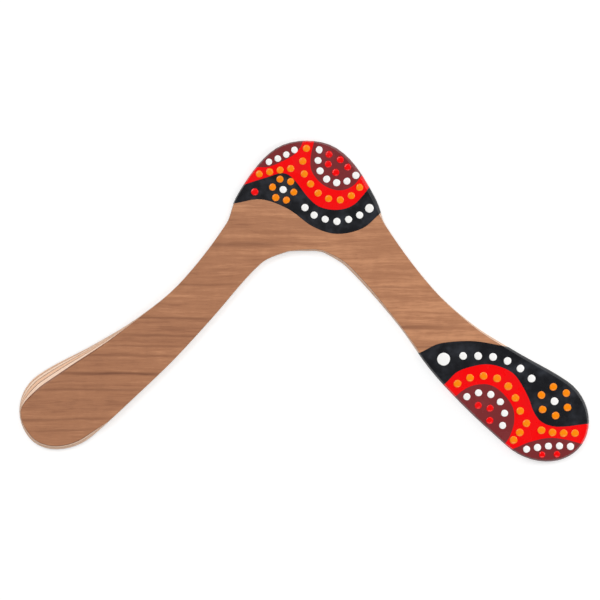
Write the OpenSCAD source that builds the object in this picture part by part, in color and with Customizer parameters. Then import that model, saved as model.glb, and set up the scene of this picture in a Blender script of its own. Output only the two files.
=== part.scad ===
// Two-bladed returning boomerang, cut from thin plywood with a walnut veneer on both faces.
// +X runs along the span, +Y from the wing tips to the bend, +Z out of the decorated face.
// The origin is the middle of the span and depth, on the flat underside.
// The plan outline is a row of straight ribs across one middle line: two straight wings joined
// by a round bend. Every layer of the wood takes its edge from the same outline, inset by the
// bevel at its own height. Paint films follow the same surface, and dots stand on the films.

/* [Wings] */
// Length of the left wing along its middle line, from the top of the bend to the tip
left_len = 243.5; // [190:0.5:300]
// Length of the right wing along its middle line
right_len = 246; // [190:1:300]
// Slope of the left wing below the level, in degrees
left_slope = 41; // [36:0.5:46]
// Slope of the right wing below the level, in degrees
right_slope = 43.5; // [38:0.5:48]
// Width of the left wing at its waist, where it is narrowest
left_waist_w = 32; // [26:0.5:39]
// Width of the left wing at its blade
left_blade_w = 54; // [44:0.5:65]
// Width of the right wing at its waist
right_waist_w = 33.5; // [27:0.5:41]
// Width of the right wing at its blade
right_blade_w = 59; // [48:0.5:71]
// Length over which the left tip is rounded
left_tip_r = 32; // [24:0.5:37]
// Length over which the right tip is rounded
right_tip_r = 36; // [29:0.5:44]

/* [Bend] */
// Radius of the middle line through the bend
bend_r = 45; // [37:1:56]
// Width of the wood at the top of the bend, where it is widest
bend_w = 73.7; // [61:0.1:89]
// Distance that the middle of the bend bulges outward
bend_bulge = 8; // [6:0.1:10]
// How much narrower than the top the bend is at its brow, close beside the top
brow_drop = 2.2; // [1.8:0.1:3]
// How much narrower it is at its sides, between the brow and the shoulders
side_drop = 10.2; // [8.5:0.1:12.5]
// How much narrower it is at the shoulders, where the wings start
shoulder_drop = 24.2; // [20:0.1:29]
// Width at the left neck, where the bend runs into the wing
left_neck_w = 35.5; // [30:0.5:43]
// Width at the right neck
right_neck_w = 38; // [31:0.5:45]

/* [Layers] */
// Thickness of each walnut face veneer
veneer_t = 0.3; // [0.2:0.05:0.8]
// Thickness of each birch ply
ply_t = 0.9; // [0.7:0.02:1.2]
// Thickness of each glue line
glue_t = 0.15; // [0.06:0.01:0.2]
// Thickness of the paint films
paint_t = 0.15; // [0.1:0.01:0.3]

/* [Edges] */
// Width of the bevel along the trailing edge of the left blade
trailing_bevel_w = 8.3; // [6:0.1:10]
// Width of the bevel on the outer edge of the bend
bend_bevel_w = 2.4; // [1.5:0.1:3.5]
// Width of the bevel around the tips
tip_bevel_w = 2.6; // [1.5:0.1:3.6]
// Width of the small rounding on the remaining edges
small_bevel_w = 0.8; // [0.4:0.1:1.4]

/* [Dots] */
// Diameter of a dot on the bend
bend_dot_d = 5; // [3.5:0.1:5.6]
// Diameter of a dot on the right tip
tip_dot_d = 5.4; // [3.5:0.1:6]
// Height of a dot above its paint film
dot_h = 0.5; // [0.3:0.05:0.8]
// Diameter of the large white dot that starts the row on the right tip
large_dot_d = 9; // [6:0.1:11]
// Diameter of the white dot that ends the row on the bend
row_end_dot_d = 6; // [4.5:0.1:7]
// Distance of a petal dot from the middle of its flower on the bend
bend_petal_r = 7.3; // [6.5:0.1:8]
// Distance of a petal dot from the middle of its flower on the tip
tip_petal_r = 9.6; // [8:0.1:10.5]

/* [Hidden] */

// Number of birch plies; the nodes above name each of them
ply_count = 5;
// Number of rib spaces in each rounded tip, along each wing and round the bend
tip_spaces = 12;
wing_spaces = 22;
bend_spaces = 38;
// Spans of a smooth curve between two of its control points
curve_steps = 6;
// The bevel is steep at its foot and flattens towards the face: inset = width * rise ^ power
bevel_power = 1.5;
// Distances from the top of the bend to the ribs at its brow, sides, shoulders and necks
brow_at = 9;
side_at = 18;
shoulder_at = 33;
neck_at = 50;
// Shares of a wing's length, from the bend, at which it has its waist, widens, and has its blade
waist_at = 0.41;
widening_at = 0.56;
filling_at = 0.70;
blade_at = 0.85;
// The last rib of each wing is wider than its blade by this much, before the tip is rounded
tip_flare = 1;
// How far the middle of each rounded tip lies inward of the wing's middle line
left_tip_shift = 6;
right_tip_shift = 4.3;
// Flowers have this many petals
petal_count = 6;
// Facets of a dot's dome, from its rim to its top
dome_steps = 4;
// Shapes that only cut others reach this far past them
cut_margin = 2;
// The paint's patterns are drawn for a bend that reaches this far out, and for this blade width
pattern_bend_reach = 44.85;
pattern_blade_w = 59;
// How far the drawn patterns are moved in their frames
bend_pattern_shift = [0, -1];
tip_pattern_shift = [0.4, -0.7];
// Lengths of the middle line that the drawn patterns reach, beside the bend and back from the tip
bend_paint_reach = 78;
tip_paint_reach = 140;

// ---- Small helpers ----

function mix(a, b, share) = a + (b - a) * share;
function reversed(list) = [for (i = [len(list) - 1:-1:0]) list[i]];
function unit(v) = v / norm(v);

// Value of column c of a table at x, on a smooth curve through its rows. Column 0 holds x.
function slope_at(rows, i, c) =
    let (before = rows[max(i - 1, 0)], after = rows[min(i + 1, len(rows) - 1)])
    (after[c] - before[c]) / (after[0] - before[0]);
function row_before(rows, x) =
    max([for (i = [0:len(rows) - 2]) if (i == 0 || rows[i][0] <= x) i]);
function smooth_value(rows, x, c) =
    let (i = row_before(rows, x),
         gap = rows[i + 1][0] - rows[i][0],
         f = max(0, min(1, (x - rows[i][0]) / gap)),
         f2 = f * f,
         f3 = f2 * f)
    rows[i][c] * (2 * f3 - 3 * f2 + 1) + rows[i + 1][c] * (3 * f2 - 2 * f3)
    + slope_at(rows, i, c) * gap * (f3 - 2 * f2 + f) + slope_at(rows, i + 1, c) * gap * (f3 - f2);

// Points along a smooth curve that passes through the control points
function curve_point(p, i, f) =
    let (a = p[max(i - 1, 0)], b = p[i], c = p[i + 1], d = p[min(i + 2, len(p) - 1)])
    0.5 * (2 * b + (c - a) * f + (2 * a - 5 * b + 4 * c - d) * f * f
           + (3 * b - a - 3 * c + d) * f * f * f);
function curve(p) = concat(
    [for (i = [0:len(p) - 2]) for (k = [0:curve_steps - 1]) curve_point(p, i, k / curve_steps)],
    [p[len(p) - 1]]
);

// ---- Middle line ----
// q is the distance along the middle line: negative on the left wing, 0 at the top of the bend.

left_arc = bend_r * left_slope * PI / 180;
right_arc = bend_r * right_slope * PI / 180;

function turn_at(q) = max(-left_slope, min(right_slope, q / bend_r * 180 / PI));
function past_bend(q) = q < -left_arc ? q + left_arc : q > right_arc ? q - right_arc : 0;
function outward(q) = let (g = turn_at(q)) [sin(g), cos(g)];
function along(q) = let (g = turn_at(q)) [cos(g), -sin(g)];
function middle(q) = bend_r * (outward(q) - [0, 1]) + past_bend(q) * along(q);

// ---- Ribs: place along the middle line, width, outward shift of the rib's middle ----

ribs = [
    [-left_len, left_blade_w + tip_flare, -3.3],
    [-blade_at * left_len, left_blade_w, -5.3],
    [-filling_at * left_len, mix(left_waist_w, left_blade_w, 0.57), -9],
    [-widening_at * left_len, mix(left_waist_w, left_blade_w, 0.23), -11],
    [-waist_at * left_len, left_waist_w, -9.5],
    [-neck_at, left_neck_w, -1.5],
    [-shoulder_at, bend_w - shoulder_drop, 0.5],
    [-side_at, bend_w - side_drop, 4.3],
    [-brow_at, bend_w - brow_drop, 7.3],
    [0, bend_w, bend_bulge],
    [brow_at, bend_w - brow_drop, 7.3],
    [side_at, bend_w - side_drop, 4.2],
    [shoulder_at, bend_w - shoulder_drop, -0.9],
    [neck_at, right_neck_w, -3.5],
    [waist_at * right_len, right_waist_w, -10],
    [widening_at * right_len, mix(right_waist_w, right_blade_w, 0.31), -13],
    [filling_at * right_len, mix(right_waist_w, right_blade_w, 0.67), -10.7],
    [blade_at * right_len, right_blade_w, -6],
    [right_len, right_blade_w + tip_flare, -4]
];

// Bevel widths on the outer and on the inner edge. Places are shares of each wing's length.
outer_bevels = [
    [-1, 0.9 * tip_bevel_w],
    [-0.990, 0.6 * tip_bevel_w],
    [-0.973, 0.5 * tip_bevel_w],
    [-0.960, 0.29 * trailing_bevel_w],
    [-0.945, 0.55 * trailing_bevel_w],
    [-0.925, 0.80 * trailing_bevel_w],
    [-0.900, 0.96 * trailing_bevel_w],
    [-0.870, trailing_bevel_w],
    [-0.840, 0.98 * trailing_bevel_w],
    [-0.800, 0.86 * trailing_bevel_w],
    [-0.740, 0.61 * trailing_bevel_w],
    [-0.660, 0.38 * trailing_bevel_w],
    [-0.590, 0.15 * trailing_bevel_w],
    [-0.520, 0.6 * small_bevel_w],
    [-0.170, 0.6 * small_bevel_w],
    [-0.130, 0.4 * bend_bevel_w],
    [0, 0.5 * bend_bevel_w],
    [0.10, bend_bevel_w],
    [0.15, bend_bevel_w],
    [0.20, 0.6 * small_bevel_w],
    [0.45, 0.6 * small_bevel_w],
    [0.60, 0.5 * tip_bevel_w],
    [0.85, 0.8 * tip_bevel_w],
    [1, 0.6 * tip_bevel_w]
];
inner_bevels = [
    [-1, 0.9 * tip_bevel_w],
    [-0.990, tip_bevel_w],
    [-0.880, tip_bevel_w],
    [-0.845, 0.7 * tip_bevel_w],
    [-0.815, 0.4 * small_bevel_w],
    [-0.12, 0.4 * small_bevel_w],
    [0, 0.4 * bend_bevel_w],
    [0.12, 0.45 * bend_bevel_w],
    [0.20, 0.7 * bend_bevel_w],
    [0.31, 0.6 * bend_bevel_w],
    [0.40, 0.35 * bend_bevel_w],
    [0.60, 0.4 * tip_bevel_w],
    [0.90, 0.4 * tip_bevel_w],
    [1, 0.6 * tip_bevel_w]
];

// ---- Outline ----

// Ribs crowd together towards each tip, as points spaced evenly round a circle do
function spread(from, to, count) = [for (k = [0:count - 1]) mix(from, to, k / count)];
function round_off(k) = 1 - cos(90 * k / tip_spaces);
places = concat(
    [for (k = [0:tip_spaces - 1]) -left_len + left_tip_r * round_off(k)],
    spread(left_tip_r - left_len, -neck_at, wing_spaces),
    spread(-neck_at, neck_at, bend_spaces),
    spread(neck_at, right_len - right_tip_r, wing_spaces),
    [for (k = [tip_spaces:-1:0]) right_len - right_tip_r * round_off(k)]
);
last_rib = len(places) - 1;

// How much of its full width a rib keeps inside a rounded tip: 0 at the tip, 1 past the rounding
function roundness(left) = left >= 1 ? 1 : sqrt(1 - pow(1 - max(0, left), 2));
function kept(q) = min(
    roundness((q + left_len) / left_tip_r),
    roundness((right_len - q) / right_tip_r)
);
function tip_middle(q) = q < left_tip_r - left_len ? -left_tip_shift
    : q > right_len - right_tip_r ? -right_tip_shift
    : 0;

// Both ends of each rib: place, then x and y of the outer end, then x and y of the inner end
rib_ends = [for (rib = ribs)
    let (rib_middle = middle(rib[0]) + outward(rib[0]) * rib[2],
         half = outward(rib[0]) * rib[1] / 2)
    concat(rib[0], rib_middle + half, rib_middle - half)];
outer_x = 1;
inner_x = 3;

// The edges are smooth curves through the ribs' ends, drawn in towards the middle at the tips
function edge_point(q, x_column) =
    let (whole = [smooth_value(rib_ends, q, x_column), smooth_value(rib_ends, q, x_column + 1)])
    mix(middle(q) + outward(q) * tip_middle(q), whole, kept(q));

// The outline runs clockwise: the outer edge from left to right, then the inner edge back
raw_outline = concat(
    [for (q = places) edge_point(q, outer_x)],
    [for (k = [last_rib - 1:-1:1]) edge_point(places[k], inner_x)]
);
point_count = len(raw_outline);
xs = [for (p = raw_outline) p[0]];
ys = [for (p = raw_outline) p[1]];
centre = [(min(xs) + max(xs)) / 2, (min(ys) + max(ys)) / 2];
outline = [for (p = raw_outline) p - centre];

// Square to the outline at each of its points, towards the wood
function inward(i) =
    let (t = unit(outline[(i + 1) % point_count] - outline[(i + point_count - 1) % point_count]))
    [t[1], -t[0]];
inwards = [for (i = [0:point_count - 1]) inward(i)];

function share_of_wing(q) = q < 0 ? q / left_len : q / right_len;
bevel_w = concat(
    [for (q = places) smooth_value(outer_bevels, share_of_wing(q), 1)],
    [for (k = [last_rib - 1:-1:1]) smooth_value(inner_bevels, share_of_wing(places[k]), 1)]
);

// ---- Heights ----

function ply_bottom(i) = veneer_t + glue_t + (i - 1) * (ply_t + glue_t);
function ply_top(i) = ply_bottom(i) + ply_t;
face_bottom = ply_bottom(ply_count + 1);
wood_t = face_bottom + veneer_t;
// The edge stands upright from the floor to the top of the first ply
upright_t = ply_top(1);
// The paint reaches down the edge to the foot of the first ply
paint_foot = ply_bottom(1);

function rise(z) = max(0, min(1, (z - upright_t) / (wood_t - upright_t)));
function inset(i, z) = bevel_w[i] * pow(rise(z), bevel_power);

// ---- Solids lofted from rings of the outline ----

// Outline points of ribs first to last: along the outer edge, then back along the inner edge
function ring_picks(first, last) = concat(
    [for (k = [first:last]) k],
    [for (k = [min(last, last_rib - 1):-1:max(first, 1)]) point_count - k]
);
// Place in that list of rib k's inner point. The two end ribs have one point for both edges.
function inner_place(k, first, last) =
    k == 0 || k == last_rib ? k - first : last - first + 1 + min(last, last_rib - 1) - k;

// The ring at height z. Growth moves it out of the wood and lift moves it up.
function ring(picks, z, growth = 0, lift = 0) = [for (i = picks)
    let (p = outline[i] + inwards[i] * (inset(i, z) - growth)) [p[0], p[1], z + lift]];

// A cap is a strip of four-sided faces between the two edges, with three sides at a tip
function cap_face(k, first, last) =
    let (a = k - first, b = k + 1 - first,
         c = inner_place(k + 1, first, last), d = inner_place(k, first, last))
    k == 0 ? [a, b, c] : k + 1 == last_rib ? [a, b, d] : [a, b, c, d];

module loft(rings, first = 0, last = last_rib) {
    n = len(rings[0]);
    top_start = n * (len(rings) - 1);
    caps = [for (k = [first:last - 1]) cap_face(k, first, last)];
    sides = [for (r = [0:len(rings) - 2]) for (k = [0:n - 1])
        let (a = r * n + k, b = r * n + (k + 1) % n)
        each [[a, b, b + n], [a, b + n, a + n]]];
    polyhedron(
        [for (r = rings) each r],
        concat(
            [for (f = caps) reversed(f)],
            sides,
            [for (f = caps) [for (i = f) i + top_start]]
        )
    );
}

module layer(bottom, top) {
    picks = ring_picks(0, last_rib);
    loft([ring(picks, bottom), ring(picks, top)]);
}

// ---- The wood ----

module back_veneer() { color("#9a6c4b") layer(0, veneer_t); }
module glue_line(i) { color("#6b4a35") layer(ply_bottom(i) - glue_t, ply_bottom(i)); }
module birch_ply(i) { color(i % 2 == 0 ? "#fbdcc4" : "#f2c9a8") layer(ply_bottom(i), ply_top(i)); }
module face_veneer() { color("#b07a58") layer(face_bottom, wood_t); }

// ---- Frames of the two painted places ----

bend_pattern_scale = (bend_bulge + bend_w / 2) / pattern_bend_reach;
tip_pattern_scale = right_blade_w / pattern_blade_w;
tip_point = middle(right_len);

// On the bend a pattern point is [to the right, up the part] from the top of the middle line
function on_bend(p) = bend_pattern_scale * (p + bend_pattern_shift) - centre;
// On the right tip it is [back along the wing, outward] from the tip's end
function on_tip(p) =
    let (moved = tip_pattern_scale * (p + tip_pattern_shift))
    tip_point - centre + outward(right_len) * moved[1] - along(right_len) * moved[0];

// ---- Borders of the paint, each a smooth curve that runs off the wood at both ends ----

bend_wood_border = curve([
    [-64, 2], [-47, 4], [-30, 6.5], [-12, 0], [4, -11.5], [20, -16.5], [37, -13], [49, -3], [62, 9]
]);
bend_black_border = curve([
    [-58, 10], [-41, 16.5], [-27, 21], [-16, 24], [-8.5, 20], [1, 8], [9, 1.5], [20, -0.5],
    [30, 2], [38, 9.5], [50, 26]
]);
bend_left_border = curve([
    [-48, 29], [-32, 28], [-24, 28.5], [-12, 34], [-6, 38.5], [-2.5, 45], [-1, 56]
]);
bend_right_border = curve([
    [7, 58], [5, 45], [3, 36], [3, 27], [7, 20], [14, 14.5], [23, 12.5], [31, 15.5],
    [36.5, 22], [48, 38]
]);
tip_wood_border = curve([
    [130, -48], [121, -30], [116, -17], [106, -5], [97, 3], [84, 11.5], [68, 22]
]);
tip_black_border = curve([
    [97, -48], [94.5, -33], [94, -22], [89, -12], [83, -4.5], [75, 0.5], [66, 3], [57, 1.5],
    [47, -2], [39, -6], [31, -7.5], [23, -4.5], [16, 2], [7, 13], [-6, 28]
]);
tip_side_border = curve([
    [84, -48], [83.5, -34], [81.5, -24], [76, -16], [69, -12], [59, -11.5], [50, -14],
    [43.5, -20], [40, -26.5], [38, -34], [38, -48]
]);
tip_end_border = curve([
    [38, -46], [31, -32], [27, -23], [20, -12.5], [11.5, -5.5], [1.5, 0], [-11, 6]
]);
// Corners past the wood that close the outer paint fields
bend_left_corner = [-52, 62];
bend_right_corner = [52, 62];
tip_outer_corner = [30, 48];
tip_end_corner = [-22, -48];

// ---- The paint ----

function first_rib_from(q) = min([for (k = [0:last_rib]) if (places[k] >= q) k]);
bend_reach = bend_pattern_scale * bend_paint_reach;
bend_rib_range = [first_rib_from(-bend_reach), first_rib_from(bend_reach)];
tip_rib_range = [first_rib_from(right_len - tip_pattern_scale * tip_paint_reach), last_rib];

levels = concat(
    [upright_t],
    [for (i = [2:ply_count + 1]) each [ply_bottom(i) - glue_t, ply_bottom(i)]],
    [wood_t]
);

// The skin that all paint lies in: a layer of paint_t over the face, the bevel and the edge
module paint_skin(range) {
    picks = ring_picks(range[0], range[1]);
    below = [for (z = levels) if (z < wood_t) z];
    difference() {
        loft(concat(
            [ring(picks, paint_foot, paint_t)],
            [for (z = below) ring(picks, z, paint_t)],
            [ring(picks, wood_t, paint_t, paint_t)]
        ), range[0], range[1]);
        loft(concat(
            [ring(picks, paint_foot, 0, -cut_margin)],
            [for (z = levels) ring(picks, z)]
        ), range[0], range[1]);
    }
}

module paint_field(range, points, shade) {
    color(shade) intersection() {
        paint_skin(range);
        linear_extrude(wood_t + paint_t + cut_margin) polygon(points);
    }
}
module bend_paint(points, shade) {
    paint_field(bend_rib_range, [for (p = points) on_bend(p)], shade);
}
module tip_paint(points, shade) {
    paint_field(tip_rib_range, [for (p = points) on_tip(p)], shade);
}

black = "#24252b";
red = "#fe0000";
maroon = "#782d30";
orange = "#ff8500";
white = "#fcfaf8";

module bend_black_paint() {
    bend_paint(concat(bend_wood_border, reversed(bend_black_border)), black);
}
module bend_red_paint() {
    bend_paint(concat(bend_black_border, reversed(bend_right_border), reversed(bend_left_border)), red);
}
module bend_left_maroon_paint() {
    bend_paint(concat(bend_left_border, [bend_left_corner]), maroon);
}
module bend_right_maroon_paint() {
    bend_paint(concat(bend_right_border, [bend_right_corner]), maroon);
}
module tip_black_paint() {
    tip_paint(concat(tip_wood_border, [tip_outer_corner], reversed(tip_black_border)), black);
}
module tip_red_paint() {
    tip_paint(concat(tip_black_border, reversed(tip_end_border), reversed(tip_side_border)), red);
}
module tip_side_maroon_paint() {
    tip_paint(tip_side_border, maroon);
}
module tip_end_maroon_paint() {
    tip_paint(concat(tip_end_border, [tip_end_corner]), maroon);
}

// ---- The dots ----

// A thick drop of paint: a round pillow that stands on the film
module dot(place, diameter) {
    translate([place[0], place[1], wood_t + paint_t])
        rotate_extrude($fn = 40)
            polygon(concat(
                [[0, 0]],
                [for (k = [0:dome_steps]) let (a = 90 * k / dome_steps)
                    [diameter / 2 * sqrt(cos(a)), dot_h * sin(a)]]
            ));
}

// Points spaced evenly along a smooth curve through the guides, one at each of its ends
function lengths(p) = [for (i = 0, sum = 0; i < len(p);
    sum = i + 1 < len(p) ? sum + norm(p[i + 1] - p[i]) : sum, i = i + 1) sum];
function point_at(p, run, s) =
    let (i = min(len(p) - 2, max([for (k = [0:len(p) - 1]) if (run[k] <= s) k])))
    mix(p[i], p[i + 1], (s - run[i]) / (run[i + 1] - run[i]));
function spaced(guides, count) =
    let (p = curve(guides), run = lengths(p), whole = run[len(run) - 1])
    concat(
        [for (k = [0:count - 2]) point_at(p, run, whole * k / (count - 1))],
        [p[len(p) - 1]]
    );
function petals(middle_place, radius, turn) = [for (k = [0:petal_count - 1])
    let (a = turn + 360 * k / petal_count) middle_place + radius * [cos(a), sin(a)]];

module bend_dots(points, shade, diameter = bend_dot_d) {
    color(shade) for (p = points) dot(on_bend(p), diameter);
}
module tip_dots(points, shade, diameter = tip_dot_d) {
    color(shade) for (p = points) dot(on_tip(p), diameter);
}

// Some of the dots are a little smaller than the rest, and the red ones at the tip's end more so
smaller = 0.92;
smallest = 0.85;
// Middles of the two flowers, and the angle of each one's first petal
bend_flower = [-15.5, 13];
bend_flower_turn = -13;
tip_flower = [33.5, 8.5];
tip_flower_turn = 42;

module bend_left_white_dots() {
    bend_dots(spaced([[-25, 31.5], [-16, 35], [-8, 39.5]], 4), white, smaller * bend_dot_d);
}
module bend_orange_dots() {
    bend_dots(concat(
        spaced([[-31.5, 23.5], [-21, 25.5], [-10.5, 27]], 4),
        [[0, 40.5], [-2.5, 32]],
        spaced([[-1.5, 23.5], [8, 10.5], [20, 6], [30, 9], [35.5, 14.5]], 7)
    ), orange);
}
module bend_ring_white_dots() {
    bend_dots(spaced([[8.5, 39.5], [8, 28.5], [13.5, 20], [24, 17.5], [33, 22.5]], 7), white);
}
module bend_red_dots() {
    bend_dots([[15, 36.5], [14.5, 30], [22.5, 33], [27.5, 28], [19.5, 24.5]], red);
}
module bend_row_white_dots() {
    bend_dots(spaced([[-1, 1], [6, -4.5], [18, -8], [26, -7.5], [35.5, -4]], 6), white);
    bend_dots([[42, 0.5]], white, row_end_dot_d);
}
module bend_flower_petals() {
    bend_dots(petals(bend_flower, bend_petal_r, bend_flower_turn), orange);
}
module bend_flower_centre() {
    bend_dots([bend_flower], white);
}
module bend_red_spot() {
    bend_dots([[-34.5, 11.5]], red);
}
module tip_row_white_dots() {
    tip_dots([[106.5, -22]], white, large_dot_d);
    tip_dots(spaced([[98.5, -11.5], [84, 1.5], [70, 8], [55, 9]], 6), white);
}
module tip_orange_dots() {
    tip_dots(concat(
        spaced([[88.5, -27.5], [84, -17], [76, -9], [67, -5.5], [57, -6.5], [48, -11], [37, -15]], 8),
        [[36, -22.5], [35.5, -29]],
        spaced([[26.5, -11.5], [17.5, -5.5], [9, 2.5]], 4)
    ), orange);
}
module tip_side_white_dots() {
    row = spaced([[78, -29.5], [73, -21], [64, -16.5], [54, -18.5], [47.5, -27]], 6);
    tip_dots(row, white, smaller * tip_dot_d);
}
module tip_side_red_dots() {
    tip_dots([[68.5, -28.5], [61.5, -24.5], [56, -30.5]], red, smaller * tip_dot_d);
}
module tip_end_white_dots() {
    tip_dots(spaced([[25, -27.5], [15, -15], [5, -6]], 5), white, smaller * tip_dot_d);
}
module tip_end_red_dots() {
    tip_dots([[15, -23], [8, -16]], red, smallest * tip_dot_d);
}
module tip_flower_petals() {
    tip_dots(petals(tip_flower, tip_petal_r, tip_flower_turn), orange);
}
module tip_flower_centre() {
    tip_dots([tip_flower], white);
}

back_veneer();
glue_line(1);  // glue_line_1
birch_ply(1);  // birch_ply_1
glue_line(2);  // glue_line_2
birch_ply(2);  // birch_ply_2
glue_line(3);  // glue_line_3
birch_ply(3);  // birch_ply_3
glue_line(4);  // glue_line_4
birch_ply(4);  // birch_ply_4
glue_line(5);  // glue_line_5
birch_ply(5);  // birch_ply_5
glue_line(6);  // glue_line_6
face_veneer();
bend_black_paint();
bend_red_paint();
bend_left_maroon_paint();
bend_right_maroon_paint();
tip_black_paint();
tip_red_paint();
tip_side_maroon_paint();
tip_end_maroon_paint();
bend_left_white_dots();
bend_orange_dots();
bend_ring_white_dots();
bend_red_dots();
bend_row_white_dots();
bend_flower_petals();
bend_flower_centre();
bend_red_spot();
tip_row_white_dots();
tip_orange_dots();
tip_side_white_dots();
tip_side_red_dots();
tip_end_white_dots();
tip_end_red_dots();
tip_flower_petals();
tip_flower_centre();
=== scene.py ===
import math
import random

import bmesh
import bpy
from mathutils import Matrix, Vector, noise


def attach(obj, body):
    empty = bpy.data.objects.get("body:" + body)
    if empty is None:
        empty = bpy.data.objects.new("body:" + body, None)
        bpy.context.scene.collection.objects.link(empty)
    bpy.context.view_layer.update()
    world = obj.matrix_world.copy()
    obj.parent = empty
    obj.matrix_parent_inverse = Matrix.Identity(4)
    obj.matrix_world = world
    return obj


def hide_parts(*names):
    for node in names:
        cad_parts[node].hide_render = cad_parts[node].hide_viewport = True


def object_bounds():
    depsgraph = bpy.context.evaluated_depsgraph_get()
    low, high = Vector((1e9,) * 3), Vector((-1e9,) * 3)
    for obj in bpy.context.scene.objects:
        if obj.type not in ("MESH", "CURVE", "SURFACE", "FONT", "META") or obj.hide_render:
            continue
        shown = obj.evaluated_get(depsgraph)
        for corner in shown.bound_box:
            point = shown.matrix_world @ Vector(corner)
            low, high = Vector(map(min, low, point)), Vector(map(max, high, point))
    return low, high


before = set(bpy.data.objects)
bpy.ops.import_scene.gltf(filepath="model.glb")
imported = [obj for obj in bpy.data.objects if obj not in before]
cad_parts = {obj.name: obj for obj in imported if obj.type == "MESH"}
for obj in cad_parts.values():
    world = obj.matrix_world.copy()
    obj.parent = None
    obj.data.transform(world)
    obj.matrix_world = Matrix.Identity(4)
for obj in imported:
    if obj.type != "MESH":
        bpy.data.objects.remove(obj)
cad_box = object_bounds()

# Looks of a plywood boomerang: walnut veneer on both faces, birch plies and glue lines on the
# bevelled edge, gloss enamel on the bend and on one tip, and thick drops of the same enamel.
# Everything is in metres, with the decorated face up.

MM = 0.001

# ---- Colours, as they look on a screen ----

WALNUT_DARK = "#9c694c"
WALNUT_MID = "#b07957"
WALNUT_LIGHT = "#cb9069"
WALNUT_STREAK = "#714531"
# Painted shade on the walnut where its edge tilts away from level
WALNUT_SHADE = "#7a4a30"
BIRCH_PALE = "#ffe0c8"
BIRCH_WARM = "#f6c9a8"
BIRCH_DARK = "#d8a683"
GLUE = "#5e2c1a"
GLUE_PALE = "#7c4029"
BLACK = "#16171b"
BLACK_WORN = "#31343c"
RED = "#fa0004"
RED_DEEP = "#dc0006"
MAROON = "#7c2d2f"
MAROON_LIGHT = "#8a3b3e"
ORANGE = "#ff8c00"
ORANGE_DEEP = "#fb7e00"
WHITE = "#fbfaf8"
WHITE_WARM = "#f3f0ea"
FLOOR = "#cbcbcb"
FLOOR_LIGHT = "#cfcfcf"

# ---- Settings of the materials ----
# A noise is its features per metre along X, Y and Z, then its detail and its roughness.
# A step turns a value into another: from, to, and what comes out at each of the two.

WALNUT_NOISES = {
    "sway": ((7.0, 22.0, 1.0), 2.0, 0.5),
    "ripple": ((50.0, 130.0, 1.0), 2.0, 0.5),
    "broad": ((8.0, 110.0, 1.0), 2.0, 0.5),
    "medium": ((28.0, 430.0, 1.0), 4.0, 0.55),
    "fine": ((110.0, 1900.0, 60.0), 3.0, 0.6),
    "pores": ((300.0, 5200.0, 200.0), 2.0, 0.6),
    "figure": ((160.0, 110.0, 1.0), 2.0, 0.5),
}
# How far the noises push the grain lines sideways, and the middle of that push
SWAY_REACH = 9.0 * MM
RIPPLE_REACH = 1.4 * MM
SWAY_MIDDLE = 5.2 * MM
# How much each noise counts in the tone of the wood
BROAD_SHARE = 0.65
MEDIUM_SHARE = 0.65
FINE_SHARE = 0.50
FIGURE_SHARE = 0.2
PALER_TO_THE_RIGHT = (-0.16, 0.12, -0.02, 0.16)
DARK_TO_MID = (0.72, 1.02, 0.0, 1.0)
MID_TO_LIGHT = (1.00, 1.34, 0.0, 1.0)
STREAK_BREAKS = (0.30, 0.60, 0.5, 1.0)
PORE_COLOUR = (0.58, 0.76, 0.0, 0.38)
PORE_HOLLOW = (0.6, 0.76, 0.0, 1.0)
# Painted shade on the walnut's tilted edge: from and to how level the surface is, and the share of
# the shade at each
TILT_SHADE_STEP = (0.86, 0.97, 0.75, 0.0)
WALNUT_ROUGHNESS = (0.2, 0.8, 0.34, 0.46)
WALNUT_BUMP = (0.02 * MM, 0.4)
LACQUER = {"coat": 0.1, "coat_roughness": 0.3, "specular": 0.25}
STREAK_FADE = 14.0 * MM

# Dark streaks of a veneer: from x, to x, y, half width and depth of the colour
FACE_STREAKS = (
    (-0.070, -0.020, 0.0370, 0.0032, 0.55),
    (-0.100, -0.045, 0.0115, 0.0014, 0.50),
    (0.020, 0.070, 0.0080, 0.0016, 0.35),
    (-0.125, -0.060, -0.0120, 0.0014, 0.55),
    (0.050, 0.090, -0.0170, 0.0022, 0.60),
    (-0.120, -0.060, -0.0233, 0.0015, 0.50),
    (0.060, 0.120, -0.0300, 0.0015, 0.45),
    (-0.130, -0.080, -0.0300, 0.0013, 0.40),
    (-0.150, -0.085, -0.0362, 0.0014, 0.45),
    (-0.165, -0.095, -0.0484, 0.0019, 0.85),
    (-0.180, -0.110, -0.0594, 0.0014, 0.45),
    (-0.195, -0.130, -0.0788, 0.0018, 0.50),
    (-0.185, -0.140, -0.0862, 0.0014, 0.40),
)
BACK_STREAKS = (
    (-0.120, 0.000, 0.0420, 0.0030, 0.45),
    (-0.110, -0.050, 0.0050, 0.0018, 0.55),
    (0.045, 0.110, -0.0120, 0.0020, 0.55),
    (-0.160, -0.080, -0.0350, 0.0022, 0.60),
    (0.070, 0.170, -0.0480, 0.0018, 0.50),
    (-0.185, -0.110, -0.0680, 0.0024, 0.65),
    (0.120, 0.190, -0.0830, 0.0020, 0.45),
)
# Where each veneer lies in the noise, so that face and back differ
FACE_OFFSET = (0.0, 0.0, 0.0)
BACK_OFFSET = (3.7, 9.1, 2.0)

BIRCH_ALONG = ((30.0, 900.0, 2400.0), 4.0, 0.6)
BIRCH_ACROSS = ((900.0, 30.0, 2400.0), 4.0, 0.6)
BIRCH_CLOUDS = ((60.0, 60.0, 300.0), 3.0, 0.5)
FIBRE_COLOUR = (0.35, 0.75, 0.0, 0.55)
CLOUD_COLOUR = (0.52, 0.8, 0.0, 0.35)
BIRCH_ROUGHNESS = (0.2, 0.8, 0.45, 0.6)
BIRCH_BUMP = (0.03 * MM, 0.6)
BIRCH_SPECULAR = 0.25
# From one ply to the next, the step along X and Y in the noise
PLY_OFFSET = (3.1, 1.7)

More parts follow.
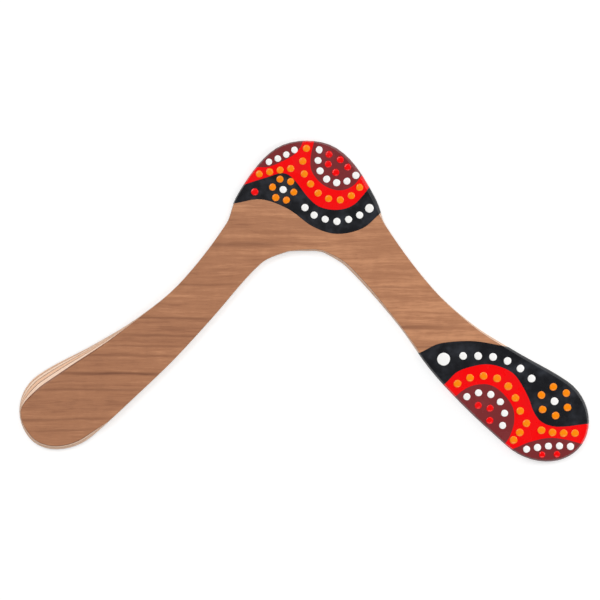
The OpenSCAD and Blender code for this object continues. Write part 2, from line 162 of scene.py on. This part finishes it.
GLUE_SPOTS = ((500.0, 500.0, 500.0), 3.0, 0.5)
GLUE_COLOUR = (0.3, 0.7, 0.0, 1.0)
GLUE_ROUGHNESS = (0.2, 0.8, 0.5, 0.65)
GLUE_BUMP = (0.02 * MM, 0.4)

# Enamels: main and second colour, patches of the second one per metre, the noise level at
# which it starts, its largest share, and the roughness of the glossiest spots
ENAMELS = {
    "black": (BLACK, BLACK_WORN, 90.0, 0.42, 0.8, 0.24),
    "red": (RED, RED_DEEP, 55.0, 0.5, 0.6, 0.2),
    "maroon": (MAROON, MAROON_LIGHT, 55.0, 0.5, 0.6, 0.2),
    "orange": (ORANGE, ORANGE_DEEP, 120.0, 0.5, 0.6, 0.2),
    "white": (WHITE, WHITE_WARM, 120.0, 0.5, 0.6, 0.16),
}
# The patches' detail and roughness, and the noise level at which the share is largest
PATCH_DETAIL = (4.0, 0.6)
PATCH_FULL = 0.78
BRUSH_STROKES = ((60.0, 420.0, 60.0), 3.0, 0.55)
ENAMEL_LUMPS = ((240.0, 240.0, 240.0), 2.0, 0.5)
STROKE_HEIGHT = 0.6
ENAMEL_BUMP = (0.05 * MM, 0.45)
# The gloss is lost by GLOSS_RANGE as the noise goes through GLOSS_NOISE
GLOSS_NOISE = (0.3, 0.7)
GLOSS_RANGE = 0.12
GLOSS = {"coat": 0.2, "coat_roughness": 0.12, "specular": 0.25}

# ---- Settings of the shapes ----

BEND_RIM_ROUNDING = 0.6 * MM
TIP_RIM_ROUNDING = 1.1 * MM
RIM_SEGMENTS = 6
BORDER_ROUNDING = 0.08 * MM
BORDER_SEGMENTS = 2
VENEER_ROUNDING = 0.15 * MM
VENEER_SEGMENTS = 2
# Edges that turn more than this are rounded, or shaded as sharp
ROUNDED_FROM = math.radians(30)
WOOD_SHARP_FROM = math.radians(28)
PAINT_SHARP_FROM = math.radians(50)
WELD_DISTANCE = 0.002 * MM
# Faces of a film that meet flatter than this become one
FLAT_WITHIN = math.radians(0.5)
# An edge this close to a film's highest point lies on its top
TOP_SLACK = 0.01 * MM
# The upward part of a face's normal: level tops, slopes of the bevel and upright sides
LEVEL_FROM = 0.99
BEVEL_FROM = 0.1
BEVEL_TO = 0.97
UPRIGHT_TO = 0.05

DROP_SEGMENTS = 40
DROP_RINGS = 9
# Each drop's share of its CAD dot's height, and the ranges in which its outline wobbles, is
# narrower one way and leans to a side, as shares of its radius
DROP_HEIGHTS = (0.85, 1.0)
DROP_WOBBLES = (0.02, 0.05)
DROP_STRETCHES = (0.0, 0.05)
DROP_LEANS = (-0.12, 0.12)
WOBBLE_GAIN = 1.6
# Where a drop lies in the noise of its outline
DROP_PHASES = (0, 100)
# The power that turns a ball's profile into a fuller one with steeper sides
DROP_FULLNESS = 0.5

# ---- Settings of the stage ----

# Light of the room at eye level and overhead
ROOM_LEVEL = 0.52
CEILING_LEVEL = 0.12
FLOOR_HALF_WIDTH = 3.0
# The floor's depth below the underside, so that two flat faces don't coincide
FLOOR_DROP = 0.3 * MM
FLOOR_DUST = ((40.0, 40.0, 1.0), 2.0, 0.5)
FLOOR_ROUGHNESS = 0.9
FLOOR_SPECULAR = 0.1
FLOOR_GLOW = 0.5

# Lamps: name, place, width and depth, watts, and the point each one is aimed at
LAMPS = (
    ("key", (-0.9, 1.0, 2.0), (1.3, 1.3), 27.0, (0.0, 0.0, 0.0)),
    ("back", (0.8, 1.0, 1.9), (1.2, 0.9), 7.0, (0.0, 0.0, 0.0)),
    ("front", (0.3, -1.2, 1.8), (1.4, 1.0), 12.0, (0.0, 0.0, 0.0)),
    ("window", (0.75, 0.15, 0.25), (0.25, 0.25), 2.2, (0.15, -0.06, 0.0)),
)

# Straight above, a little off the middle as in the photo
CAMERA_PLACE = (-2.7 * MM, 0.7 * MM, 1.6)
CAMERA_SENSOR = 36.0
VIEW_WIDTH_PER_SPAN = 1.0545


# ---- Materials ----


def linear(colour):
    """The shader's colour for a screen colour such as #b07a58, by the sRGB curve."""
    levels = [int(colour[start:start + 2], 16) / 255 for start in (1, 3, 5)]
    return [
        level / 12.92 if level <= 0.04045 else ((level + 0.055) / 1.055) ** 2.4 for level in levels
    ] + [1.0]


class Graph:
    """The nodes of one material, made with short calls."""

    def __init__(self, name):
        self.material = bpy.data.materials.new(name)
        self.material.use_nodes = True
        self.tree = self.material.node_tree
        self.tree.nodes.clear()
        self.shader = self.node("ShaderNodeBsdfPrincipled")
        self.output = self.node("ShaderNodeOutputMaterial")
        self.feed(self.output.inputs["Surface"], self.shader.outputs["BSDF"])
        self.place = self.node("ShaderNodeTexCoord").outputs["Object"]
        self.facing = self.node("ShaderNodeTexCoord").outputs["Normal"]

    def node(self, kind, **settings):
        node = self.tree.nodes.new(kind)
        for key, value in settings.items():
            setattr(node, key, value)
        return node

    def feed(self, socket, value):
        """Links the socket to another one, or sets it to a number or a colour."""
        if isinstance(value, bpy.types.NodeSocket):
            self.tree.links.new(value, socket)
        else:
            socket.default_value = value

    def math(self, operation, first, second=0.0):
        node = self.node("ShaderNodeMath", operation=operation)
        self.feed(node.inputs[0], first)
        self.feed(node.inputs[1], second)
        return node.outputs[0]

    def weighted(self, *pairs):
        """The sum of some values, each times its weight."""
        total, *others = [self.math("MULTIPLY", value, weight) for value, weight in pairs]
        for other in others:
            total = self.math("ADD", total, other)
        return total

    def axis(self, name, source=None):
        node = self.node("ShaderNodeSeparateXYZ")
        self.feed(node.inputs[0], source or self.place)
        return node.outputs[name]

    def vector(self, x, y, z):
        node = self.node("ShaderNodeCombineXYZ")
        for socket, value in zip(node.inputs, (x, y, z)):
            self.feed(socket, value)
        return node.outputs[0]

    def noise(self, settings, source=None, offset=(0.0, 0.0, 0.0)):
        """Cloudy noise from 0 to 1, with the settings of a noise as given above."""
        per_metre, detail, roughness = settings
        mapping = self.node("ShaderNodeMapping")
        self.feed(mapping.inputs["Vector"], source or self.place)
        mapping.inputs["Scale"].default_value = per_metre
        mapping.inputs["Location"].default_value = offset
        node = self.node("ShaderNodeTexNoise")
        self.feed(node.inputs["Vector"], mapping.outputs[0])
        node.inputs["Scale"].default_value = 1.0
        node.inputs["Detail"].default_value = detail
        node.inputs["Roughness"].default_value = roughness
        return node.outputs["Fac"]

    def step(self, value, low, high, at_low=0.0, at_high=1.0):
        """A smooth step from at_low to at_high as the value goes from low to high."""
        node = self.node("ShaderNodeMapRange", interpolation_type="SMOOTHSTEP")
        for socket, number in zip(node.inputs, (value, low, high, at_low, at_high)):
            self.feed(socket, number)
        return node.outputs[0]

    def blend(self, share, first, second):
        """The first colour, with this share of the second one over it."""
        node = self.node("ShaderNodeMix", data_type="RGBA")
        self.feed(node.inputs["Factor"], share)
        self.feed(node.inputs["A"], linear(first) if isinstance(first, str) else first)
        self.feed(node.inputs["B"], linear(second) if isinstance(second, str) else second)
        return node.outputs["Result"]

    def bump(self, height, distance, strength):
        """Makes the surface look raised by the height, a value from 0 to 1, times the distance."""
        node = self.node("ShaderNodeBump")
        node.inputs["Strength"].default_value = strength
        node.inputs["Distance"].default_value = distance
        self.feed(node.inputs["Height"], height)
        self.feed(self.shader.inputs["Normal"], node.outputs[0])

    def finish(self, colour, roughness, coat=0.0, coat_roughness=0.1, specular=0.5):
        """Gives the shader its colour, roughness and gloss."""
        self.feed(self.shader.inputs["Base Color"], colour)
        self.feed(self.shader.inputs["Roughness"], roughness)
        self.shader.inputs["Coat Weight"].default_value = coat
        self.shader.inputs["Coat Roughness"].default_value = coat_roughness
        self.shader.inputs["Specular IOR Level"].default_value = specular
        return self.material


def streak(graph, x, y, from_x, to_x, at_y, half_width):
    """1 along the middle of a dark streak of the grain, fading to 0 at its sides and ends."""
    off_line = graph.math("ABSOLUTE", graph.math("SUBTRACT", y, at_y))
    across = graph.step(off_line, 0.0, half_width, 1.0, 0.0)
    start = graph.step(x, from_x - STREAK_FADE, from_x + STREAK_FADE)
    end = graph.step(x, to_x - STREAK_FADE, to_x + STREAK_FADE, 1.0, 0.0)
    return graph.math("MULTIPLY", across, graph.math("MULTIPLY", start, end))


def walnut(name, streaks, offset):
    """Lacquered walnut veneer with its grain along X, a little paler towards the right wing, and
    with painted shade where its edge tilts away from level.
    """
    graph = Graph(name)
    x = graph.axis("X")
    sway = graph.noise(WALNUT_NOISES["sway"], offset=offset)
    ripple = graph.noise(WALNUT_NOISES["ripple"], offset=offset)
    push = graph.weighted((sway, SWAY_REACH), (ripple, RIPPLE_REACH))
    y = graph.math("ADD", graph.axis("Y"), graph.math("SUBTRACT", push, SWAY_MIDDLE))
    along_grain = graph.vector(x, y, graph.axis("Z"))
    broad, medium, fine, pores = (
        graph.noise(WALNUT_NOISES[layer], along_grain, offset)
        for layer in ("broad", "medium", "fine", "pores")
    )
    figure = graph.noise(WALNUT_NOISES["figure"], offset=offset)
    tone = graph.weighted(
        (broad, BROAD_SHARE), (medium, MEDIUM_SHARE), (fine, FINE_SHARE), (figure, FIGURE_SHARE)
    )
    tone = graph.math("ADD", tone, graph.step(x, *PALER_TO_THE_RIGHT))
    colour = graph.blend(graph.step(tone, *DARK_TO_MID), WALNUT_DARK, WALNUT_MID)
    colour = graph.blend(graph.step(tone, *MID_TO_LIGHT), colour, WALNUT_LIGHT)
    dark = 0.0
    for from_x, to_x, at_y, half_width, depth in streaks:
        mask = streak(graph, x, y, from_x, to_x, at_y, half_width)
        dark = graph.math("MAXIMUM", dark, graph.math("MULTIPLY", mask, depth))
    broken = graph.math("MULTIPLY", dark, graph.step(medium, *STREAK_BREAKS))
    colour = graph.blend(broken, colour, WALNUT_STREAK)
    colour = graph.blend(graph.step(pores, *PORE_COLOUR), colour, WALNUT_STREAK)
    # Painted shade: the walnut is darkened where its surface tilts away from level, on its rounded
    # edge and bevel, as if less light fell there
    upward = graph.math("ABSOLUTE", graph.axis("Z", graph.facing))
    colour = graph.blend(graph.step(upward, *TILT_SHADE_STEP), colour, WALNUT_SHADE)
    graph.bump(graph.math("SUBTRACT", fine, graph.step(pores, *PORE_HOLLOW)), *WALNUT_BUMP)
    return graph.finish(colour, graph.step(medium, *WALNUT_ROUGHNESS), **LACQUER)


def birch(name, number):
    """One birch ply as it shows on the bevel. The odd plies have their fibres along X."""
    graph = Graph(name)
    along = number % 2 == 1
    base = BIRCH_PALE if along else BIRCH_WARM
    offset = (number * PLY_OFFSET[0], number * PLY_OFFSET[1], 0.0)
    clouds = graph.noise(BIRCH_CLOUDS, offset=offset)
    fibre = graph.noise(BIRCH_ALONG if along else BIRCH_ACROSS, offset=offset)
    colour = graph.blend(graph.step(fibre, *FIBRE_COLOUR), base, BIRCH_WARM)
    colour = graph.blend(graph.step(clouds, *CLOUD_COLOUR), colour, BIRCH_DARK)
    graph.bump(fibre, *BIRCH_BUMP)
    return graph.finish(colour, graph.step(clouds, *BIRCH_ROUGHNESS), specular=BIRCH_SPECULAR)


def glue():
    """The dark glue between two layers, a little spotted."""
    graph = Graph("glue_line")
    spots = graph.noise(GLUE_SPOTS)
    colour = graph.blend(graph.step(spots, *GLUE_COLOUR), GLUE, GLUE_PALE)
    graph.bump(spots, *GLUE_BUMP)
    return graph.finish(colour, graph.step(spots, *GLUE_ROUGHNESS))


def enamel(name, main, second, patches, second_from, second_share, roughness):
    """Gloss enamel brushed on by hand: clouded colour, faint strokes and an uneven gloss."""
    graph = Graph(name)
    clouds = graph.noise(((patches, patches, patches), *PATCH_DETAIL))
    strokes = graph.noise(BRUSH_STROKES)
    lumps = graph.noise(ENAMEL_LUMPS)
    share = graph.step(clouds, second_from, PATCH_FULL, 0.0, second_share)
    colour = graph.blend(share, main, second)
    height = graph.math("ADD", graph.math("MULTIPLY", strokes, STROKE_HEIGHT), lumps)
    graph.bump(height, *ENAMEL_BUMP)
    gloss = graph.step(clouds, *GLOSS_NOISE, roughness, roughness + GLOSS_RANGE)
    return graph.finish(colour, gloss, **GLOSS)


MATERIALS = {
    "face_veneer": walnut("walnut_face", FACE_STREAKS, FACE_OFFSET),
    "back_veneer": walnut("walnut_back", BACK_STREAKS, BACK_OFFSET),
    "glue": glue(),
}
for paint, settings in ENAMELS.items():
    MATERIALS[paint] = enamel(paint + "_enamel", *settings)


def dress(item, material):
    """Gives the piece this one material."""
    item.data.materials.clear()
    item.data.materials.append(material)


# ---- Wood: the CAD's own layers ----


def soften(item):
    """Rounds the sharp edges of a veneer a little, as sanding and lacquer do."""
    rounding = item.modifiers.new("rounded edges", "BEVEL")
    rounding.width = VENEER_ROUNDING
    rounding.segments = VENEER_SEGMENTS
    rounding.limit_method = "ANGLE"
    rounding.angle_limit = ROUNDED_FROM
    rounding.harden_normals = False


def smooth_group():
    """Geometry nodes that shade a layer smoothly across all but its sharp edges."""
    tree = bpy.data.node_groups.new("shade_by_angle", "GeometryNodeTree")
    tree.interface.new_socket("Geometry", in_out="INPUT", socket_type="NodeSocketGeometry")
    tree.interface.new_socket("Geometry", in_out="OUTPUT", socket_type="NodeSocketGeometry")
    start = tree.nodes.new("NodeGroupInput")
    end = tree.nodes.new("NodeGroupOutput")
    faces = tree.nodes.new("GeometryNodeSetShadeSmooth")
    faces.domain = "FACE"
    edges = tree.nodes.new("GeometryNodeSetShadeSmooth")
    edges.domain = "EDGE"
    edges.inputs["Shade Smooth"].default_value = False
    angle = tree.nodes.new("GeometryNodeInputMeshEdgeAngle")
    sharp = tree.nodes.new("FunctionNodeCompare")
    sharp.operation = "GREATER_THAN"
    sharp.inputs["B"].default_value = WOOD_SHARP_FROM
    links = (
        (start.outputs[0], faces.inputs["Geometry"]),
        (faces.outputs[0], edges.inputs["Geometry"]),
        (angle.outputs["Unsigned Angle"], sharp.inputs["A"]),
        (sharp.outputs[0], edges.inputs["Selection"]),
        (edges.outputs[0], end.inputs[0]),
    )
    for source, target in links:
        tree.links.new(source, target)
    return tree


def dress_wood():
    """Materials, softened edges and smooth shading for the thirteen layers of the board."""
    shading = smooth_group()
    for name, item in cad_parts.items():
        if name in ("face_veneer", "back_veneer"):
            dress(item, MATERIALS[name])
            soften(item)
        elif name.startswith("glue_line"):
            dress(item, MATERIALS["glue"])
        elif name.startswith("birch_ply"):
            dress(item, birch(name, int(name.rsplit("_", 1)[1])))
        else:
            continue
        item.modifiers.new("smooth shading", "NODES").node_group = shading


# ---- Paint films ----


def colour_of(name):
    """The colour of a painted node, by the words in its name."""
    if "flower_petals" in name:
        return "orange"
    if "flower_centre" in name:
        return "white"
    return next(word for word in ("black", "maroon", "orange", "white", "red") if word in name)


def new_item(name, mesh_data, node_name):
    """A piece in the place of a CAD node, painted in that node's colour."""
    item = bpy.data.objects.new(name, mesh_data)
    bpy.context.scene.collection.objects.link(item)
    dress(item, MATERIALS[colour_of(node_name)])
    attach(item, "root")
    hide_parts(node_name)
    return item


def welded(node_name):
    """A copy of a CAD node's mesh, with the points that coincide joined."""
    mesh = bmesh.new()
    mesh.from_mesh(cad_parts[node_name].data)
    bmesh.ops.remove_doubles(mesh, verts=mesh.verts, dist=WELD_DISTANCE)
    return mesh


def to_data(mesh, name):
    """The finished mesh as Blender data."""
    data = bpy.data.meshes.new(name)
    mesh.to_mesh(data)
    mesh.free()
    return data


def round_edges(mesh, edges, width, segments):
    """Rounds these edges of the mesh, where there are any."""
    if edges:
        bmesh.ops.bevel(
            mesh, geom=edges, offset=width, segments=segments, profile=0.5, affect="EDGES",
            clamp_overlap=True
        )


def paint_film(node_name):
    """A CAD film with its rim over the wood's edge rounded, and its borders softened."""
    mesh = welded(node_name)
    bmesh.ops.dissolve_limit(mesh, angle_limit=FLAT_WITHIN, verts=mesh.verts, edges=mesh.edges)
    top = max(vertex.co.z for vertex in mesh.verts)
    rim = []
    border = []
    for edge in mesh.edges:
        if len(edge.link_faces) != 2:
            continue
        if min(vertex.co.z for vertex in edge.verts) < top - TOP_SLACK:
            continue
        lower, upper = sorted(face.normal.z for face in edge.link_faces)
        if upper > LEVEL_FROM and BEVEL_FROM < lower < BEVEL_TO:
            rim.append(edge)
        elif upper > LEVEL_FROM and abs(lower) < UPRIGHT_TO:
            border.append(edge)
    rounding = TIP_RIM_ROUNDING if node_name.startswith("tip") else BEND_RIM_ROUNDING
    round_edges(mesh, rim, rounding, RIM_SEGMENTS)
    border = [edge for edge in border if edge.is_valid]
    round_edges(mesh, border, BORDER_ROUNDING, BORDER_SEGMENTS)
    for face in mesh.faces:
        face.smooth = True
    data = to_data(mesh, node_name + "_film")
    data.set_sharp_from_angle(angle=PAINT_SHARP_FROM)
    item = new_item(node_name + "_film", data, node_name)
    weighted = item.modifiers.new("flat faces stay flat", "WEIGHTED_NORMAL")
    weighted.keep_sharp = True


# ---- Dots ----


def islands(mesh):
    """The separate pieces of a mesh, each as a list of its vertices."""
    left = set(mesh.verts)
    found = []
    while left:
        seed = left.pop()
        piece = [seed]
        queue = [seed]
        while queue:
            for edge in queue.pop().link_edges:
                for vertex in edge.verts:
                    if vertex in left:
                        left.remove(vertex)
                        piece.append(vertex)
                        queue.append(vertex)
        found.append(piece)
    return found


def dots_of(node_name):
    """Middle, radius, foot and height of each dot of a CAD node."""
    mesh = welded(node_name)
    dots = []
    for piece in islands(mesh):
        low = Vector([min(vertex.co[axis] for vertex in piece) for axis in range(3)])
        high = Vector([max(vertex.co[axis] for vertex in piece) for axis in range(3)])
        dots.append(((low + high) / 2, (high.x - low.x) / 2, low.z, high.z - low.z))
    mesh.free()
    return sorted(dots, key=lambda dot: (dot[0].x, dot[0].y))


def add_drop(mesh, middle, radius, foot, height, rng):
    """A drop of thick paint: a pillow with an uneven outline and a slightly leaning crown."""
    phase = rng.uniform(*DROP_PHASES)
    wobble = rng.uniform(*DROP_WOBBLES)
    stretch = rng.uniform(*DROP_STRETCHES)
    stretch_turn = rng.uniform(0, math.pi)
    lean = Vector((rng.uniform(*DROP_LEANS), rng.uniform(*DROP_LEANS)))
    rings = []
    for ring in range(DROP_RINGS):
        rise = ring / DROP_RINGS * math.pi / 2
        row = []
        for step in range(DROP_SEGMENTS):
            turn = 2 * math.pi * step / DROP_SEGMENTS
            uneven = noise.noise((math.cos(turn) + phase, math.sin(turn), phase))
            reach = radius * (1 - wobble + wobble * uneven * WOBBLE_GAIN)
            reach *= 1 - stretch * math.cos(turn - stretch_turn) ** 2
            reach *= math.cos(rise) ** DROP_FULLNESS
            x = middle.x + reach * math.cos(turn) + lean.x * radius * math.sin(rise) ** 2
            y = middle.y + reach * math.sin(turn) + lean.y * radius * math.sin(rise) ** 2
            row.append(mesh.verts.new((x, y, foot + height * math.sin(rise))))
        rings.append(row)
    crown = mesh.verts.new((middle.x + lean.x * radius, middle.y + lean.y * radius, foot + height))
    for lower, upper in zip(rings, rings[1:]):
        for step in range(DROP_SEGMENTS):
            after = (step + 1) % DROP_SEGMENTS
            mesh.faces.new((lower[step], lower[after], upper[after], upper[step]))
    for step in range(DROP_SEGMENTS):
        mesh.faces.new((rings[-1][step], rings[-1][(step + 1) % DROP_SEGMENTS], crown))
    mesh.faces.new(list(reversed(rings[0])))


def paint_dots(node_name):
    """Uneven drops of paint in the place of a CAD node's dots."""
    rng = random.Random(node_name)
    mesh = bmesh.new()
    for middle, radius, foot, height in dots_of(node_name):
        add_drop(mesh, middle, radius, foot, height * rng.uniform(*DROP_HEIGHTS), rng)
    for face in mesh.faces:
        face.smooth = True
    item = new_item(node_name + "_drops", to_data(mesh, node_name + "_drops"), node_name)


# ---- Stage ----


def make_floor():
    """A pale floor just below the boomerang. It glows for the camera only."""
    graph = Graph("floor")
    colour = graph.blend(graph.noise(FLOOR_DUST), FLOOR, FLOOR_LIGHT)
    graph.finish(colour, FLOOR_ROUGHNESS, specular=FLOOR_SPECULAR)
    glow = graph.node("ShaderNodeEmission")
    glow.inputs["Strength"].default_value = FLOOR_GLOW
    nothing = graph.node("ShaderNodeEmission")
    nothing.inputs["Strength"].default_value = 0.0
    path = graph.node("ShaderNodeLightPath")
    seen = graph.node("ShaderNodeMixShader")
    graph.feed(seen.inputs[0], path.outputs["Is Camera Ray"])
    graph.feed(seen.inputs[1], nothing.outputs[0])
    graph.feed(seen.inputs[2], glow.outputs[0])
    total = graph.node("ShaderNodeAddShader")
    graph.feed(total.inputs[0], graph.shader.outputs[0])
    graph.feed(total.inputs[1], seen.outputs[0])
    graph.feed(graph.output.inputs["Surface"], total.outputs[0])
    mesh = bmesh.new()
    bmesh.ops.create_grid(mesh, x_segments=2, y_segments=2, size=FLOOR_HALF_WIDTH)
    floor = bpy.data.objects.new("floor", to_data(mesh, "floor"))
    bpy.context.scene.collection.objects.link(floor)
    floor.location.z = cad_box[0][2] - FLOOR_DROP
    dress(floor, graph.material)


def make_lamp(name, place, size, watts, target):
    """A soft rectangular lamp that faces its target."""
    data = bpy.data.lights.new(name, "AREA")
    data.shape = "RECTANGLE"
    data.size, data.size_y = size
    data.energy = watts
    lamp = bpy.data.objects.new(name, data)
    bpy.context.scene.collection.objects.link(lamp)
    lamp.location = place
    lamp.rotation_euler = (Vector(target) - Vector(place)).to_track_quat("-Z", "Y").to_euler()


def make_world():
    """A pale room, dimmer overhead than at eye level. The camera sees it white."""
    world = bpy.data.worlds.new("studio")
    bpy.context.scene.world = world
    world.use_nodes = True
    tree = world.node_tree
    tree.nodes.clear()
    direction = tree.nodes.new("ShaderNodeTexCoord")
    parts = tree.nodes.new("ShaderNodeSeparateXYZ")
    height = tree.nodes.new("ShaderNodeMapRange")
    height.inputs["To Min"].default_value = ROOM_LEVEL
    height.inputs["To Max"].default_value = CEILING_LEVEL
    path = tree.nodes.new("ShaderNodeLightPath")
    level = tree.nodes.new("ShaderNodeMix")
    level.inputs["B"].default_value = 1.0
    light = tree.nodes.new("ShaderNodeBackground")
    output = tree.nodes.new("ShaderNodeOutputWorld")
    tree.links.new(direction.outputs["Generated"], parts.inputs[0])
    tree.links.new(parts.outputs["Z"], height.inputs["Value"])
    tree.links.new(height.outputs["Result"], level.inputs["A"])
    tree.links.new(path.outputs["Is Camera Ray"], level.inputs["Factor"])
    tree.links.new(level.outputs["Result"], light.inputs["Strength"])
    tree.links.new(light.outputs[0], output.inputs["Surface"])


def make_camera():
    """Straight above the boomerang, with the span level across the picture."""
    view_width = (cad_box[1][0] - cad_box[0][0]) * VIEW_WIDTH_PER_SPAN
    data = bpy.data.cameras.new("camera")
    data.sensor_width = CAMERA_SENSOR
    data.lens = CAMERA_SENSOR * CAMERA_PLACE[2] / view_width
    camera = bpy.data.objects.new("camera", data)
    bpy.context.scene.collection.objects.link(camera)
    camera.location = CAMERA_PLACE
    bpy.context.scene.camera = camera


make_camera()
make_world()
make_floor()
for lamp_settings in LAMPS:
    make_lamp(*lamp_settings)

dress_wood()
for node_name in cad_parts:
    if node_name.endswith("_paint"):
        paint_film(node_name)
    elif "dots" in node_name or "flower" in node_name or "spot" in node_name:
        paint_dots(node_name)

scene = bpy.context.scene
scene.view_settings.view_transform = "Standard"
